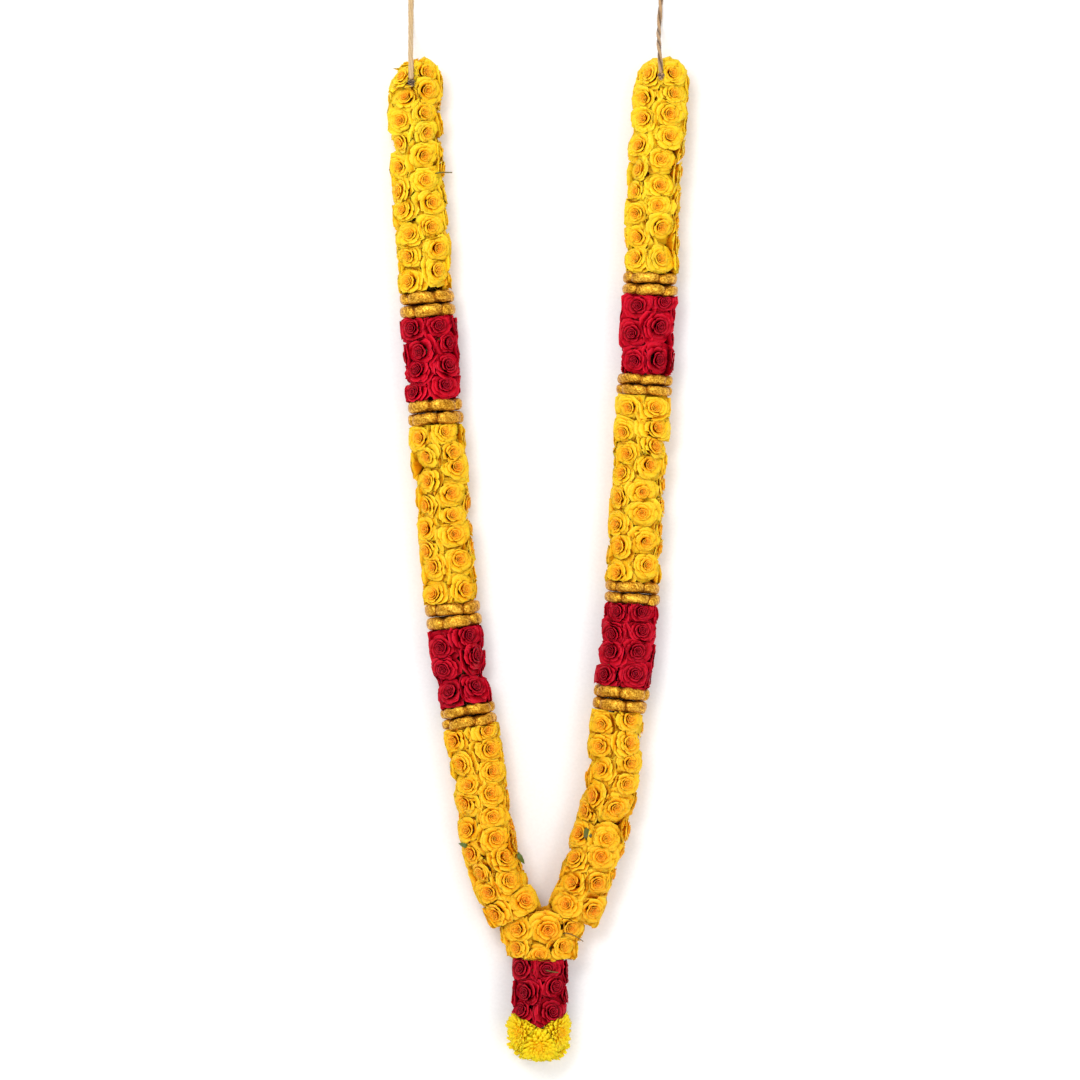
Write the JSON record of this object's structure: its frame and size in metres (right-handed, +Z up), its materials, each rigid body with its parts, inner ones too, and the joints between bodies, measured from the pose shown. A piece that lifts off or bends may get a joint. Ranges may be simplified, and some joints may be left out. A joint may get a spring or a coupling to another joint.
{
  "type": "rose garland",
  "caption": "Wedding garland of yellow and red spray roses with gold tissue bands, two strands that join in a short pendant ending in chrysanthemums, laid flat.",
  "frame": {"origin": "centre of the bottom of the box round the flowers, which lie on the surface at Z = 0", "axes": "+Y along the garland towards its tie strings, +Z up from the surface it lies on, +X across it to the side of the strand with the jute string"},
  "size_m": [0.3331, 1.2, 0.0624],
  "materials": {
    "yellow_petals": "soft matte petals, yellow with an apricot heart",
    "red_petals": "velvety crimson petals",
    "gold_tissue": "crinkled metallic gold tissue",
    "chrysanthemum_petals": "matte strap petals, lemon yellow",
    "green_stems": "fresh green stems, calyxes and leaves",
    "cotton_rope": "natural cotton",
    "straw_fibre": "pale flat plant fibre",
    "jute_twine": "twisted brown jute"
  },
  "bodies": {
    "root": {"chrysanthemum_back_left": "chrysanthemum_petals", "chrysanthemum_back_right": "chrysanthemum_petals", "chrysanthemum_front": "chrysanthemum_petals", "chrysanthemum_left": "chrysanthemum_petals", "chrysanthemum_right": "chrysanthemum_petals", "core_rope": "cotton_rope", "gold_pads_left_1_bottom": "gold_tissue", "gold_pads_left_1_top": "gold_tissue", "gold_pads_left_2_bottom": "gold_tissue", "gold_pads_left_2_top": "gold_tissue", "gold_pads_left_3_bottom": "gold_tissue", "gold_pads_left_3_top": "gold_tissue", "gold_pads_left_4_bottom": "gold_tissue", "gold_pads_left_4_top": "gold_tissue", "gold_pads_right_1_bottom": "gold_tissue", "gold_pads_right_1_top": "gold_tissue", "gold_pads_right_2_bottom": "gold_tissue", "gold_pads_right_2_top": "gold_tissue", "gold_pads_right_3_bottom": "gold_tissue", "gold_pads_right_3_top": "gold_tissue", "gold_pads_right_4_bottom": "gold_tissue", "gold_pads_right_4_top": "gold_tissue", "pendant_rope": "cotton_rope", "red_rose_stems_left_lower": "green_stems", "red_rose_stems_left_upper": "green_stems", "red_rose_stems_pendant": "green_stems", "red_rose_stems_right_lower": "green_stems", "red_rose_stems_right_upper": "green_stems", "red_roses_left_lower": "red_petals", "red_roses_left_upper": "red_petals", "red_roses_pendant": "red_petals", "red_roses_right_lower": "red_petals", "red_roses_right_upper": "red_petals", "tie_knot_left": "straw_fibre", "tie_knot_right": "jute_twine", "tie_string_left": "straw_fibre", "tie_string_right": "jute_twine", "yellow_rose_stems_left_lower": "green_stems", "yellow_rose_stems_left_middle": "green_stems", "yellow_rose_stems_left_upper": "green_stems", "yellow_rose_stems_right_lower": "green_stems", "yellow_rose_stems_right_middle": "green_stems", "yellow_rose_stems_right_upper": "green_stems", "yellow_roses_junction": "yellow_petals", "yellow_roses_left_lower": "yellow_petals", "yellow_roses_left_middle": "yellow_petals", "yellow_roses_left_upper": "yellow_petals", "yellow_roses_right_lower": "yellow_petals", "yellow_roses_right_middle": "yellow_petals", "yellow_roses_right_upper": "yellow_petals"}
  },
  "joints": []
}
